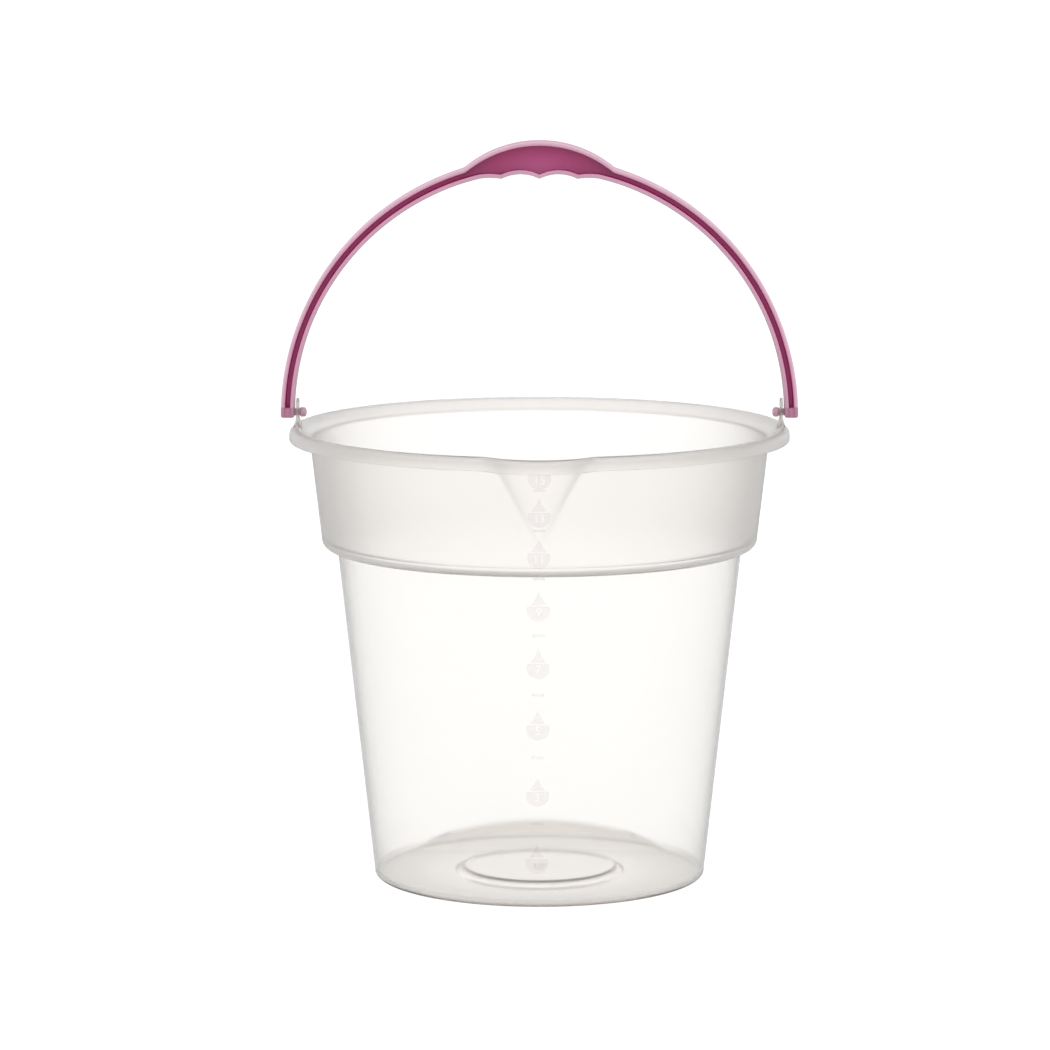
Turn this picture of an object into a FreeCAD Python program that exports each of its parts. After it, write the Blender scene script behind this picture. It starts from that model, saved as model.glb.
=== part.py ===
"""A translucent baby bath bucket with a pouring spout and a swinging bail handle.

The bucket is two mouldings: the tub, and the bail handle whose pins snap into the tub's two ears.
Millimetres, +Z up.  The origin is on the tub's own axis, in the plane that it stands on.  The spout
points to -Y, the ears are on the X axis, and the handle is drawn standing upright.
"""
import FreeCAD, Part
import math
import os

import Sketcher

Vector = FreeCAD.Vector

# Driving dimensions.  Radii are from the tub's axis and heights from the standing plane.
SIZES = {
    # tub wall
    "wall": 2.0,
    "base_radius": 114.0,
    "base_round": 3.0,
    "neck_radius": 139.3,
    "step_height": 230.0,
    "band_radius": 149.2,
    "band_round": 6.0,
    "band_top_radius": 157.6,
    "band_top_height": 304.0,
    # floor: a raised round panel, and a facet at the back that leaves room for fingers below it
    "panel_radius": 54.5,
    "panel_foot_radius": 56.5,
    "panel_height": 3.3,
    "tilt_start": 66.5,
    "tilt_slope": 0.263,
    # rolled rim with a turned-down lip
    "crown_radius": 166.8,
    "crown_height": 312.8,
    "roll_radius": 5.0,
    "flare_angle": 40.0,
    "lip_height": 303.8,
    # pouring spout: a cone whose point lies on the collar and whose nose is round at the rim
    "spout_reach": 14.2,
    "spout_round": 44.0,
    "spout_blend": 5.0,
    "spout_apex_height": 250.0,
    "spout_root_share": 0.03,
    "spout_turn": 80.0,
    "spout_back": 120.0,
    # ears that carry the handle
    "ear_inner": 165.1,
    "ear_outer": 166.9,
    "ear_radius": 9.6,
    "ear_foot": 15.0,
    "ear_root_height": 310.5,
    "ear_waist_height": 315.0,
    "ear_rib_height": 319.0,
    "ear_rib_width": 2.6,
    "ear_rib_half_length": 5.0,
    "pivot_height": 322.4,
    "bore_radius": 2.56,
    # bail handle
    "bow_height": 320.0,
    "bow_radius": 177.5,
    "bow_width": 9.3,
    "bow_depth": 14.0,
    "flange": 2.7,
    "web": 2.4,
    "foot_half_height": 3.5,
    "pin_radius": 2.5,
    "knob_radius": 3.3,
    "knob_inner": 159.9,
    "knob_outer": 164.3,
    # finger grip at the top of the handle
    "grip_half_length": 51.4,
    "grip_rise": 11.0,
    "grip_depth": 18.0,
    "finger_pitch": 25.8,
    "finger_radius": 28.4,
    "finger_drop": 5.1,
    "thumb_radius": 46.0,
}

# Places worked out from the driving dimensions, as formulas of the second sheet.
PLACES = {
    # a wall that leans by this much for each unit of height
    "wall_lean": "(sizes.neck_radius - sizes.base_radius) / sizes.step_height",
    "band_lean": "(sizes.band_top_radius - sizes.band_radius)"
                 " / (sizes.band_top_height - sizes.step_height)",
    "wall_secant": "sqrt(1 + wall_lean ^ 2)",
    "band_secant": "sqrt(1 + band_lean ^ 2)",
    # outer corners, where a flat turns up into a leaning wall through a tangent arc
    "base_cut": "sizes.base_round * (wall_secant - wall_lean)",
    "base_flat": "sizes.base_radius - base_cut",
    "base_rise_radius": "sizes.base_radius + base_cut * wall_lean / wall_secant",
    "base_rise_height": "base_cut / wall_secant",
    "band_cut": "sizes.band_round * (band_secant - band_lean)",
    "band_flat": "sizes.band_radius - band_cut",
    "band_rise_radius": "sizes.band_radius + band_cut * band_lean / band_secant",
    "band_rise_height": "sizes.step_height + band_cut / band_secant",
    # the same corners on the inside of the wall
    "core_round": "sizes.band_round - sizes.wall",
    "core_base_radius": "sizes.base_radius + sizes.wall * (wall_lean - 1)",
    "core_neck_radius": "sizes.neck_radius + sizes.wall * (wall_lean - 1)",
    "core_step_height": "sizes.step_height + sizes.wall",
    "core_band_radius": "sizes.band_radius + sizes.wall * (band_lean - 1)",
    "core_cut": "core_round * (band_secant - band_lean)",
    "core_band_flat": "core_band_radius - core_cut",
    "core_rise_radius": "core_band_radius + core_cut * band_lean / band_secant",
    "core_rise_height": "core_step_height + core_cut / band_secant",
    "core_top_radius": "sizes.band_top_radius - sizes.wall",
    "core_top_height": "sizes.crown_height + 10",
    "core_panel_height": "sizes.panel_height + sizes.wall",
    # rolled rim: a section of even thickness around the roll's centre
    "roll_height": "sizes.crown_height - sizes.roll_radius",
    "roll_inner": "sizes.roll_radius - sizes.wall",
    "roll_outer_reach": "sizes.crown_radius + sizes.roll_radius",
    "roll_inner_reach": "sizes.crown_radius + roll_inner",
    "flare_radius": "sizes.crown_radius - sizes.roll_radius * sin(sizes.flare_angle)",
    "flare_height": "roll_height + sizes.roll_radius * cos(sizes.flare_angle)",
    "under_radius": "sizes.crown_radius - roll_inner * sin(sizes.flare_angle)",
    "under_height": "roll_height + roll_inner * cos(sizes.flare_angle)",
    "hem_inner": "core_top_radius + 0.3",
    "hem_outer": "sizes.band_top_radius - 0.3",
    "hem_height": "sizes.band_top_height - 1",
    "hem_inner_height": "flare_height - (flare_radius - hem_inner) * tan(sizes.flare_angle)",
    "hem_outer_height": "under_height - (under_radius - hem_outer) * tan(sizes.flare_angle)",
    # the rim's plan: a circle, a blend, the spout's round nose, and a blend
    "nose_centre": "sizes.crown_radius + sizes.spout_reach - sizes.spout_round",
    "blend_reach": "sizes.crown_radius + sizes.spout_blend",
    "nose_reach": "sizes.spout_round + sizes.spout_blend",
    "blend_front": "(blend_reach ^ 2 + nose_centre ^ 2 - nose_reach ^ 2) / (2 * nose_centre)",
    "blend_side": "sqrt(blend_reach ^ 2 - blend_front ^ 2)",
    "rim_side": "blend_side * sizes.crown_radius / blend_reach",
    "rim_front": "-blend_front * sizes.crown_radius / blend_reach",
    "nose_side": "blend_side * sizes.spout_round / nose_reach",
    "nose_front": "-nose_centre - (blend_front - nose_centre) * sizes.spout_round / nose_reach",
    # the spout's walls: the radius of the cone and how far it reaches, at its point and at the rim
    "outer_round": "sizes.spout_round - sizes.crown_radius + sizes.band_top_radius",
    "inner_round": "outer_round - sizes.wall",
    "spout_rise": "sizes.band_top_height - sizes.spout_apex_height",
    "apex_reach": "sizes.band_radius + band_lean * (sizes.spout_apex_height - sizes.step_height)",
    "reach_gain": "sizes.band_top_radius + sizes.spout_reach - apex_reach",
    "mouth_share": "1 + 1 / spout_rise",
    "mouth_height": "sizes.band_top_height + 1",
    "root_height": "sizes.spout_apex_height + sizes.spout_root_share * spout_rise",
    "mouth_tip": "apex_reach + reach_gain * mouth_share",
    "root_tip": "apex_reach + reach_gain * sizes.spout_root_share",
    "outer_mouth_round": "outer_round * mouth_share",
    "outer_mouth_side": "outer_mouth_round * sin(sizes.spout_turn)",
    "outer_mouth_front": "outer_mouth_round * (1 - cos(sizes.spout_turn)) - mouth_tip",
    "outer_root_round": "outer_round * sizes.spout_root_share",
    "outer_root_side": "outer_root_round * sin(sizes.spout_turn)",
    "outer_root_front": "outer_root_round * (1 - cos(sizes.spout_turn)) - root_tip",
    "inner_mouth_round": "inner_round * mouth_share",
    "inner_mouth_side": "inner_mouth_round * sin(sizes.spout_turn)",
    "inner_mouth_front": "inner_mouth_round * (1 - cos(sizes.spout_turn)) - mouth_tip + sizes.wall",
    "inner_root_round": "inner_round * sizes.spout_root_share",
    "inner_root_side": "inner_root_round * sin(sizes.spout_turn)",
    "inner_root_front": "inner_root_round * (1 - cos(sizes.spout_turn)) - root_tip + sizes.wall",
    # ears
    "ear_thickness": "sizes.ear_outer - sizes.ear_inner",
    "ear_top": "sizes.pivot_height + sizes.ear_radius",
    "rib_inner": "sizes.ear_inner - sizes.ear_rib_width",
    "rib_outer": "sizes.ear_outer + sizes.ear_rib_width",
    "rib_length": "2 * sizes.ear_rib_half_length",
    # tilt grip: the facet's underside, and the same facet one wall higher
    "skirt_radius": "sizes.base_radius - sizes.wall",
    "recess_top": "sizes.tilt_slope * (sizes.base_radius - sizes.tilt_start)",
    "recess_top_radius": "skirt_radius + wall_lean * recess_top",
    "facet_end": "sizes.base_radius + 10",
    "facet_top": "sizes.wall + sizes.tilt_slope * (facet_end - sizes.tilt_start)",
    "ceiling_top": "facet_top - sizes.wall",
    # handle section, drawn where the bow meets the X axis
    "bow_inner": "sizes.bow_radius - sizes.bow_width",
    "flange_outer": "sizes.bow_radius - sizes.flange",
    "flange_inner": "bow_inner + sizes.flange",
    "bow_half_depth": "sizes.bow_depth / 2",
    "web_half": "sizes.web / 2",
    "foot_low": "sizes.pivot_height - sizes.foot_half_height",
    "foot_high": "sizes.pivot_height + sizes.foot_half_height",
    "pin_end": "bow_inner + 1",
    # grip outline and the recess inside it
    "grip_crest": "sizes.bow_height + sizes.bow_radius + sizes.grip_rise",
    "grip_end_top": "sizes.bow_height + sqrt(sizes.bow_radius ^ 2 - sizes.grip_half_length ^ 2) + 0.2",
    "grip_end_low": "sizes.bow_height + sqrt(bow_inner ^ 2 - sizes.grip_half_length ^ 2) - 0.3",
    "grip_sagitta": "grip_crest - grip_end_top",
    "grip_radius": "(sizes.grip_half_length ^ 2 + grip_sagitta ^ 2) / (2 * grip_sagitta)",
    "cusp_height": "sizes.bow_height + bow_inner - sizes.finger_drop",
    "finger_centre": "cusp_height - sqrt(sizes.finger_radius ^ 2 - (sizes.finger_pitch / 2) ^ 2)",
    "recess_finger": "sizes.finger_radius + sizes.flange",
    "recess_thumb": "sizes.thumb_radius + sizes.flange",
    "recess_cusp": "finger_centre + sqrt(recess_finger ^ 2 - (sizes.finger_pitch / 2) ^ 2)",
    "recess_radius": "grip_radius - sizes.flange",
    "recess_end_top": "grip_crest - grip_radius"
                      " + sqrt(recess_radius ^ 2 - sizes.grip_half_length ^ 2)",
    "recess_end_low": "grip_end_low + sizes.flange + 0.2",
}


def make_sheet(doc, name, cells, formula):
    """Write one alias per row; a formula cell starts with an equals sign."""
    sheet = doc.addObject("Spreadsheet::Sheet", name)
    for row, (alias, content) in enumerate(cells.items(), start=1):
        text = "=" + content if formula else str(content)
        sheet.set(f"A{row}", alias)
        sheet.set(f"B{row}", text)
        sheet.setAlias(f"B{row}", alias)
    return sheet


def cell(name):
    """Return the expression and the value of a named cell; a leading minus negates both."""
    alias = name.lstrip("-")
    sheet = sizes if alias in SIZES else places
    value = float(sheet.get(alias))
    text = f"{sheet.Name}.{alias}"
    if name.startswith("-"):
        return f"-{text}", -value
    return text, value


def value_of(name):
    """Return a cell's value, with 0 standing for the axis."""
    return cell(name)[1] if name else 0.0


def origin_plane(body, role):
    return next(item for item in body.Origin.OriginFeatures if item.Role == role)


def new_sketch(body, name, role, height=None, shift=None):
    """Attach a sketch to one of the body's planes, lifted by height and slid along its own Y."""
    sketch = body.newObject("Sketcher::SketchObject", name)
    sketch.AttachmentSupport = (origin_plane(body, role), [""])
    sketch.MapMode = "FlatFace"
    if height:
        sketch.setExpression("AttachmentOffset.Base.z", cell(height)[0])
    if shift:
        sketch.setExpression("AttachmentOffset.Base.y", cell(shift)[0])
    return sketch


def bend(start, end, radius):
    """Return the point half way along an arc; a positive radius turns to the left."""
    chord = end - start
    half = chord.Length / 2
    rise = abs(radius) - math.sqrt(radius ** 2 - half ** 2)
    right = Vector(chord.y, -chord.x, 0).normalize()
    return (start + end) / 2 + right * math.copysign(rise, radius)


def vertex_at(sketch, edge, point):
    """Return 1 or 2, whichever end of a sketch edge lies at the point."""
    return 1 if sketch.getPoint(edge, 1).distanceToPoint(point) < 1e-6 else 2


def hold(sketch, edge, vertex, direction, name):
    """Hold one coordinate of a vertex at a cell's value, or on the axis for 0."""
    if not name:
        axis = -2 if direction == "X" else -1
        sketch.addConstraint(Sketcher.Constraint("PointOnObject", edge, vertex, axis))
        return
    text, value = cell(name)
    ends = (-1, 1, edge, vertex)
    if value < 0:
        ends = (edge, vertex, -1, 1)
        text = f"-({text})"
    index = sketch.addConstraint(Sketcher.Constraint("Distance" + direction, *ends, abs(value)))
    sketch.setExpression(f"Constraints[{index}]", text)


def outline(sketch, corners):
    """Draw a closed outline.  A corner is (x, y), or (x, y, radius) where an arc leaves it."""
    points = [Vector(value_of(corner[0]), value_of(corner[1]), 0) for corner in corners]
    edges = []
    for number, corner in enumerate(corners):
        start = points[number]
        end = points[(number + 1) % len(points)]
        if len(corner) == 3:
            middle = bend(start, end, value_of(corner[2]))
            edges.append(sketch.addGeometry(Part.Arc(start, middle, end)))
        else:
            edges.append(sketch.addGeometry(Part.LineSegment(start, end)))
    for number, corner in enumerate(corners):
        point = points[number]
        edge = edges[number]
        before = edges[number - 1]
        vertex = vertex_at(sketch, edge, point)
        hold(sketch, edge, vertex, "X", corner[0])
        hold(sketch, edge, vertex, "Y", corner[1])
        joined = (edge, vertex, before, vertex_at(sketch, before, point))
        sketch.addConstraint(Sketcher.Constraint("Coincident", *joined))
        if len(corner) == 3:
            radius = abs(value_of(corner[2]))
            index = sketch.addConstraint(Sketcher.Constraint("Radius", edge, radius))
            sketch.setExpression(f"Constraints[{index}]", cell(corner[2].lstrip("-"))[0])


def mirrored(corners):
    """Return the same outline on the other side of the sketch's vertical axis."""
    def flip(name):
        if not name:
            return name
        return name[1:] if name.startswith("-") else "-" + name

    names = [(flip(corner[0]), corner[1]) for corner in corners]
    for number, corner in enumerate(corners):
        if len(corner) == 3:
            names[number] += (flip(corner[2]),)
    return names


def circle(sketch, height, radius):
    """Draw a circle on the sketch's vertical axis."""
    centre = Vector(0, value_of(height), 0)
    edge = sketch.addGeometry(Part.Circle(centre, Vector(0, 0, 1), value_of(radius)))
    hold(sketch, edge, 3, "X", 0)
    hold(sketch, edge, 3, "Y", height)
    index = sketch.addConstraint(Sketcher.Constraint("Radius", edge, value_of(radius)))
    sketch.setExpression(f"Constraints[{index}]", cell(radius)[0])


def revolve(body, name, sketch, axis, degrees=360):
    feature = body.newObject("PartDesign::Revolution", name)
    feature.Profile = sketch
    feature.ReferenceAxis = (sketch, [axis])
    feature.Angle = degrees
    return feature


def pad(body, name, sketch, length, side="Symmetric"):
    feature = body.newObject("PartDesign::Pad", name)
    feature.Profile = sketch
    feature.SideType = side
    feature.setExpression("Length", cell(length)[0])
    return feature


def cut_through(body, name, sketch):
    """Cut a sketch right through the body, both ways, and make sure that it removed something."""
    doc.recompute()
    before = body.Shape.Volume
    feature = body.newObject("PartDesign::Pocket", name)
    feature.Profile = sketch
    feature.SideType = "Symmetric"
    feature.Type = "ThroughAll"
    doc.recompute()
    if body.Shape.Volume > before - 1:
        raise RuntimeError(f"{name} cuts nothing")
    return feature


def loft(body, name, lower, upper):
    feature = body.newObject("PartDesign::AdditiveLoft", name)
    feature.Profile = lower
    feature.Sections = [upper]
    feature.Ruled = True
    return feature


def spout_cone(body, wall):
    """Add the space in front of a spout wall: a cone that opens upwards from its point."""
    sections = []
    for level in ("root", "mouth"):
        side = f"{wall}_{level}_side"
        front = f"{wall}_{level}_front"
        section = new_sketch(body, f"{wall}_spout_{level}", "XY_Plane", f"{level}_height")
        outline(section, [
            ("-" + side, "-spout_back"),
            ("-" + side, front, f"{wall}_{level}_round"),
            (side, front),
            (side, "-spout_back"),
        ])
        sections.append(section)
    loft(body, f"{wall}_spout", *sections)


def sweep_rim(body):
    """Sweep the rolled rim's hook section around the circle and out along the spout."""
    plan = new_sketch(body, "rim_plan", "XY_Plane", "roll_height")
    outline(plan, [
        (0, "crown_radius", "-crown_radius"),
        ("rim_side", "rim_front", "spout_blend"),
        ("nose_side", "nose_front", "-spout_round"),
        ("-nose_side", "nose_front", "spout_blend"),
        ("-rim_side", "rim_front", "-crown_radius"),
    ])
    hook = new_sketch(body, "rim_section", "YZ_Plane")
    outline(hook, [
        ("hem_inner", "hem_height"),
        ("hem_outer", "hem_height"),
        ("hem_outer", "hem_outer_height"),
        ("under_radius", "under_height", "-roll_inner"),
        ("roll_inner_reach", "roll_height"),
        ("roll_inner_reach", "lip_height"),
        ("roll_outer_reach", "lip_height"),
        ("roll_outer_reach", "roll_height", "roll_radius"),
        ("flare_radius", "flare_height"),
        ("hem_inner", "hem_inner_height"),
    ])
    doc.recompute()
    rim = body.newObject("PartDesign::AdditivePipe", "rim")
    rim.Profile = hook
    rim.Spine = (plan, [f"Edge{number + 1}" for number in range(5)])


def make_ears(body):
    """Stand a thin ear on the rim at each side, with a short rib at its foot, and bore both."""
    for side, near_face in (("right", "ear_inner"), ("left", "-ear_outer")):
        plate = new_sketch(body, f"{side}_ear_outline", "YZ_Plane", near_face)
        outline(plate, [
            ("-ear_foot", "ear_root_height"),
            ("ear_foot", "ear_root_height"),
            ("ear_radius", "ear_waist_height"),
            ("ear_radius", "pivot_height", "ear_radius"),
            (0, "ear_top", "ear_radius"),
            ("-ear_radius", "pivot_height"),
            ("-ear_radius", "ear_waist_height"),
        ])
        pad(body, f"{side}_ear", plate, "ear_thickness", "One side")
    ribs = new_sketch(body, "ear_rib_outlines", "XZ_Plane")
    rib = [
        ("rib_inner", "ear_root_height"),
        ("rib_outer", "ear_root_height"),
        ("ear_outer", "ear_rib_height"),
        ("ear_inner", "ear_rib_height"),
    ]
    outline(ribs, rib)
    outline(ribs, mirrored(rib))
    pad(body, "ear_ribs", ribs, "rib_length")
    bore = new_sketch(body, "bore_outline", "YZ_Plane")
    circle(bore, "pivot_height", "bore_radius")
    cut_through(body, "ear_bores", bore)


def outside_form():
    """The tub's outer surface as a solid, up to the foot of the rim, with its spout."""
    body = doc.addObject("PartDesign::Body", "outside_form")
    profile = new_sketch(body, "outside_profile", "XZ_Plane")
    outline(profile, [
        (0, "panel_height"),
        ("panel_radius", "panel_height"),
        ("panel_foot_radius", 0),
        ("base_flat", 0, "base_round"),
        ("base_rise_radius", "base_rise_height"),
        ("neck_radius", "step_height"),
        ("band_flat", "step_height", "band_round"),
        ("band_rise_radius", "band_rise_height"),
        ("band_top_radius", "band_top_height"),
        (0, "band_top_height"),
    ])
    revolve(body, "outside_turn", profile, "V_Axis")
    spout_cone(body, "outer")
    return body


def rolled_rim():
    """The rim with its turned-down lip, and the two ears that stand on it."""
    body = doc.addObject("PartDesign::Body", "rolled_rim")
    sweep_rim(body)
    make_ears(body)
    return body


def inside_core():
    """The space inside the tub as a solid, up through its mouth and out along the spout."""
    body = doc.addObject("PartDesign::Body", "inside_core")
    profile = new_sketch(body, "core_profile", "XZ_Plane")
    outline(profile, [
        (0, "core_panel_height"),
        ("panel_radius", "core_panel_height"),
        ("panel_foot_radius", "wall"),
        ("core_base_radius", "wall"),
        ("core_neck_radius", "core_step_height"),
        ("core_band_flat", "core_step_height", "core_round"),
        ("core_rise_radius", "core_rise_height"),
        ("core_top_radius", "band_top_height"),
        ("core_top_radius", "core_top_height"),
        (0, "core_top_height"),
    ])
    revolve(body, "core_turn", profile, "V_Axis")
    spout_cone(body, "inner")
    facet = new_sketch(body, "facet_outline", "YZ_Plane")
    outline(facet, [
        ("tilt_start", "wall"),
        ("facet_end", "wall"),
        ("facet_end", "facet_top"),
    ])
    cut_through(body, "floor_facet", facet)
    return body


def finger_recess():
    """The room for fingers below the facet, inside the tub's skirt at the back."""
    body = doc.addObject("PartDesign::Body", "finger_recess")
    profile = new_sketch(body, "recess_profile", "XZ_Plane")
    outline(profile, [
        (0, 0),
        ("skirt_radius", 0),
        ("recess_top_radius", "recess_top"),
        (0, "recess_top"),
    ])
    revolve(body, "recess_turn", profile, "V_Axis")
    ceiling = new_sketch(body, "ceiling_outline", "YZ_Plane")
    outline(ceiling, [
        ("-facet_end", 0),
        ("tilt_start", 0),
        ("facet_end", "ceiling_top"),
        ("-facet_end", "ceiling_top"),
    ])
    cut_through(body, "recess_ceiling", ceiling)
    return body


def join(kind, name, base, tool):
    feature = doc.addObject(kind, name)
    feature.Base = base
    feature.Tool = tool
    return feature


def make_tub():
    """Cut the core and the finger recess out of the outside form, and add the rim."""
    opened = join("Part::Cut", "opened_form", outside_form(), inside_core())
    relieved = join("Part::Cut", "relieved_form", opened, finger_recess())
    return join("Part::Fuse", "tub", relieved, rolled_rim())


def make_bow(body):
    """Turn the H section of the bail half way round, and close its ends with solid feet."""
    section = new_sketch(body, "bow_section", "XY_Plane", "bow_height")
    outline(section, [
        ("bow_inner", "-bow_half_depth"),
        ("flange_inner", "-bow_half_depth"),
        ("flange_inner", "-web_half"),
        ("flange_outer", "-web_half"),
        ("flange_outer", "-bow_half_depth"),
        ("bow_radius", "-bow_half_depth"),
        ("bow_radius", "bow_half_depth"),
        ("flange_outer", "bow_half_depth"),
        ("flange_outer", "web_half"),
        ("flange_inner", "web_half"),
        ("flange_inner", "bow_half_depth"),
        ("bow_inner", "bow_half_depth"),
    ])
    bow = revolve(body, "bow", section, "V_Axis", 180)
    doc.recompute()
    if body.Shape.BoundBox.ZMax < value_of("pivot_height"):
        bow.Reversed = True
    feet = new_sketch(body, "feet_outlines", "XZ_Plane")
    foot = [
        ("bow_inner", "foot_low"),
        ("bow_radius", "foot_low"),
        ("bow_radius", "foot_high"),
        ("bow_inner", "foot_high"),
    ]
    outline(feet, foot)
    outline(feet, mirrored(foot))
    pad(body, "feet", feet, "bow_depth")


def make_pins(body):
    """Turn both hinge pins, each with the knob that keeps it in its ear."""
    profile = new_sketch(body, "pin_profiles", "XZ_Plane", None, "pivot_height")
    pin = [
        ("knob_inner", 0),
        ("pin_end", 0),
        ("pin_end", "pin_radius"),
        ("knob_outer", "pin_radius"),
        ("knob_outer", "knob_radius"),
        ("knob_inner", "knob_radius"),
    ]
    outline(profile, pin)
    outline(profile, mirrored(pin))
    revolve(body, "pins", profile, "H_Axis")


def grip_outline(sketch, end_top, end_low, crown, cusp, finger, thumb):
    """Draw the grip: a crowned top, and finger hollows between three cusps below."""
    outline(sketch, [
        ("-grip_half_length", end_top, "-" + crown),
        ("grip_half_length", end_top),
        ("grip_half_length", end_low, thumb),
        ("finger_pitch", cusp, finger),
        (0, cusp, finger),
        ("-finger_pitch", cusp, thumb),
        ("-grip_half_length", end_low),
    ])


def make_grip(body):
    """Pad the grip, hollow both its faces down to the web, and put the web back."""
    block = new_sketch(body, "grip_outline", "XZ_Plane")
    grip_outline(block, "grip_end_top", "grip_end_low", "grip_radius",
                 "cusp_height", "finger_radius", "thumb_radius")
    pad(body, "grip", block, "grip_depth")
    hollow = ("recess_end_top", "recess_end_low", "recess_radius",
              "recess_cusp", "recess_finger", "recess_thumb")
    opening = new_sketch(body, "grip_hollow_outline", "XZ_Plane")
    grip_outline(opening, *hollow)
    cut_through(body, "grip_hollow", opening)
    plate = new_sketch(body, "grip_web_outline", "XZ_Plane")
    grip_outline(plate, *hollow)
    pad(body, "grip_web", plate, "web")


def make_bail_handle():
    """The bail: bow, feet and pins, and the finger grip at its top."""
    body = doc.addObject("PartDesign::Body", "bail_handle")
    make_bow(body)
    make_pins(body)
    make_grip(body)
    return body


def check(parts):
    """Stop on any failed object and on any part that isn't one valid solid."""
    failed = [item.Name for item in doc.Objects if {"Invalid", "Error"} & set(item.State)]
    if failed:
        raise RuntimeError("failed: " + ", ".join(failed))
    for part in parts:
        shape = part.Shape
        if shape.isNull() or not shape.isValid() or len(shape.Solids) != 1:
            raise RuntimeError(f"{part.Label} isn't one valid solid")
        box = shape.optimalBoundingBox(False, False)
        print(f"{part.Label}: {shape.Volume / 1000:.1f} cm3,"
              f" x {box.XMin:.1f} to {box.XMax:.1f},"
              f" y {box.YMin:.1f} to {box.YMax:.1f},"
              f" z {box.ZMin:.1f} to {box.ZMax:.1f}")


doc = FreeCAD.newDocument("bath_bucket")
sizes = make_sheet(doc, "sizes", SIZES, False)
doc.recompute()
places = make_sheet(doc, "places", PLACES, True)
doc.recompute()

sub_parts = [make_tub(), make_bail_handle()]
for sub_part in sub_parts:
    sub_part.Label = sub_part.Name
    sub_part.Placement = FreeCAD.Placement()
doc.recompute()
check(sub_parts)

os.makedirs("parts", exist_ok=True)
for sub_part in sub_parts:
    sub_part.Shape.exportStep(f"parts/{sub_part.Label}.step")
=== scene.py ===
"""Looks of the translucent bath bucket: a clear tub, satin in its collar, and a magenta bail handle.

Sizes are in millimetres, in the CAD part's frame, and become metres where vertices are made.
"""

from math import asin, atan2, cos, degrees, dist, hypot, pi, radians, sin, sqrt, tan

import bmesh
import bpy
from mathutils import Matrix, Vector


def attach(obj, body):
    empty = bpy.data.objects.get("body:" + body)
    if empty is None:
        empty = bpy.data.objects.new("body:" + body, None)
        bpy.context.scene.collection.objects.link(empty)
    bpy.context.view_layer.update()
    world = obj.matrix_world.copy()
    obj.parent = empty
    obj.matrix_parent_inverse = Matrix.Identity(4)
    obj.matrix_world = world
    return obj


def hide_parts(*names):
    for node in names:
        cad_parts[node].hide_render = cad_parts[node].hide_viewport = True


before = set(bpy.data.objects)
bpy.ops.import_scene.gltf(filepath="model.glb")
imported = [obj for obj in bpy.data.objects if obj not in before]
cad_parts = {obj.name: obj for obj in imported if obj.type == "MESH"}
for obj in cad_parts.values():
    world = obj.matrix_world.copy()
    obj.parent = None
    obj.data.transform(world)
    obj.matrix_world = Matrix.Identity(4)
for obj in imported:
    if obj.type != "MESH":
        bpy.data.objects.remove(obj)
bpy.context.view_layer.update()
MM = 0.001
SHARP_ANGLE = 35
WELD_DISTANCE = 1e-6

# ---------------------------------------------------------------- tub dimensions
WALL = 2.0
BASE_RADIUS, BASE_ROUND = 114.0, 3.0
NECK_RADIUS, NECK_FILLET, STEP_HEIGHT = 139.3, 1.0, 230.0
BAND_RADIUS, BAND_ROUND = 149.2, 6.0
BAND_TOP_RADIUS, BAND_TOP_HEIGHT = 157.6, 304.0
LEDGE_LIP, LEDGE_ROUND = 1.6, 4.0
PANEL_RADIUS, PANEL_FOOT, PANEL_HEIGHT = 53.4, 57.6, 3.3
GATE_RADIUS, GATE_BOTTOM = 3.8, 0.7
TILT_START, TILT_SLOPE = 66.5, 0.263
CROWN_RADIUS, CROWN_HEIGHT = 166.8, 312.8
ROLL_RADIUS, FLARE_DEGREES, CORNER_CUT = 5.0, 40, 3.2
LIP_HEIGHT, LIP_ROUND = 303.8, 1.0
SPOUT_REACH, SPOUT_ROUND, SPOUT_APEX_HEIGHT, SPOUT_CREASE = 14.2, 44.0, 250.0, 2.4

WALL_LEAN = (NECK_RADIUS - BASE_RADIUS) / STEP_HEIGHT
BAND_LEAN = (BAND_TOP_RADIUS - BAND_RADIUS) / (BAND_TOP_HEIGHT - STEP_HEIGHT)
ROLL_HEIGHT = CROWN_HEIGHT - ROLL_RADIUS
FLARE_ANGLE, ROLL_END = radians(FLARE_DEGREES), 90 + FLARE_DEGREES
NOSE_CENTRE = CROWN_RADIUS + SPOUT_REACH - SPOUT_ROUND
APEX_RADIUS = BAND_RADIUS + BAND_LEAN * (SPOUT_APEX_HEIGHT - STEP_HEIGHT)
TIP_GAIN = BAND_TOP_RADIUS + SPOUT_REACH - APEX_RADIUS

# rows of the tub's mesh: shares of the lower wall's height, with one close to the floor, how far below
# the step the wall's straight part ends, inside and outside, and how far below its top the collar's
# outside starts, then the lip's straight heights
WALL_SHARES = (0, 0.02) + tuple(i / 9 for i in range(1, 10))
INNER_WALL_END, OUTER_WALL_END, BAND_END = 1.5, 3.0, 1.2
LIP_OUTSIDE = (ROLL_HEIGHT - 0.8, LIP_HEIGHT + 0.6)
LIP_INSIDE = (LIP_HEIGHT + 1.6, ROLL_HEIGHT)
LIP_CENTRE = LIP_HEIGHT + 0.9

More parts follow.
